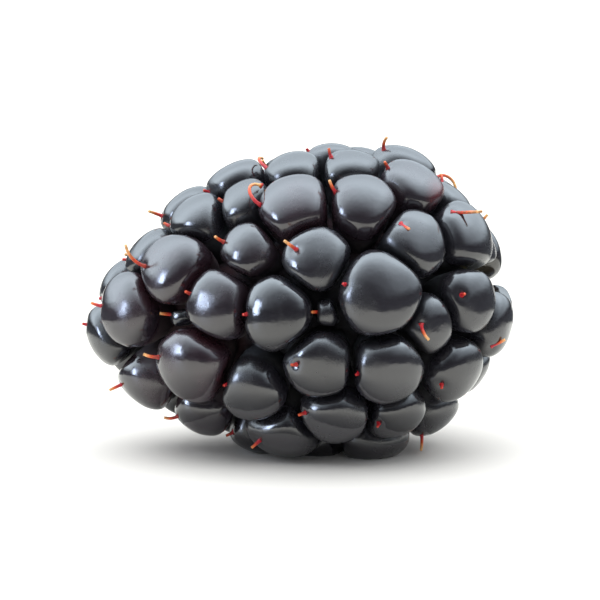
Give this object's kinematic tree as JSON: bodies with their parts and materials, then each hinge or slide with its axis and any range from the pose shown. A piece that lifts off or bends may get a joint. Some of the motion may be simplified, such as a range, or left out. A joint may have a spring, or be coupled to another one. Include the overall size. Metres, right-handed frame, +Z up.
{
  "type": "bramble berry",
  "caption": "Ripe bramble berry, picked, lying on its side: glossy black drupelets packed round a pale receptacle; food, garnish or still-life prop.",
  "frame": {"origin": "on the surface that the berry lies on, under the middle of its box", "axes": "+X from the tip towards the stem end, +Y away from the berry's face, +Z up"},
  "size_m": [0.0288, 0.0224, 0.0207],
  "materials": {
    "drupelet_skin": "glossy black fruit skin with a hint of purple",
    "receptacle_pith": "matt, pale yellow-green, torn"
  },
  "bodies": {
    "root": {"drupelets": "drupelet_skin", "receptacle": "receptacle_pith"}
  },
  "joints": []
}
